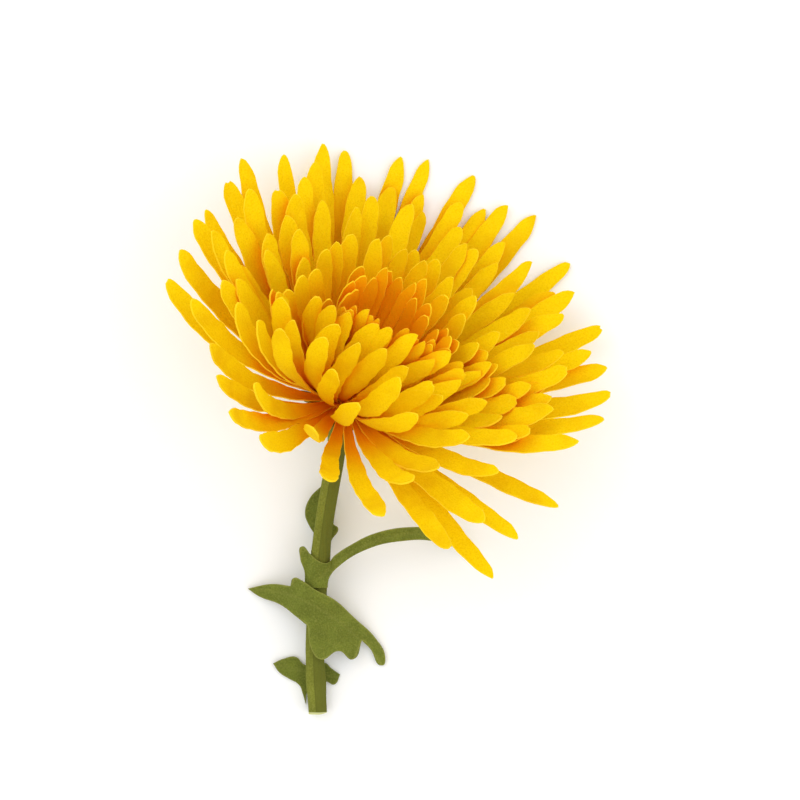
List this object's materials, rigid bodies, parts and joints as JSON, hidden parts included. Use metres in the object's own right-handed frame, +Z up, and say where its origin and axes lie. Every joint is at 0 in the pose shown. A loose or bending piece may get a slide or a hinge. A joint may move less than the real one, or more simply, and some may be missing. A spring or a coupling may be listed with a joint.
{
  "type": "spider chrysanthemum",
  "caption": "Cut spider chrysanthemum lying on a surface: a yellow bloom of long arched florets on a green stem with lobed leaves.",
  "frame": {"origin": "on the surface, under the middle of the flower's bounding box", "axes": "+Z up from the surface; +Y along the flower from the cut end of the stem to the bloom; +X to the right as seen from above"},
  "size_m": [0.122, 0.161, 0.082],
  "materials": {
    "petal_yellow": "matte",
    "disc_orange": "matte",
    "bract_green": "matte",
    "stem_green": "matte",
    "leaf_green": "matte"
  },
  "bodies": {
    "root": {"ray_florets": "petal_yellow", "disc_florets": "disc_orange", "involucre": "bract_green", "stem": "stem_green", "leaf_lobed": "leaf_green", "leaf_arching": "leaf_green", "leaf_behind": "leaf_green", "leaf_lower": "leaf_green"}
  },
  "joints": []
}
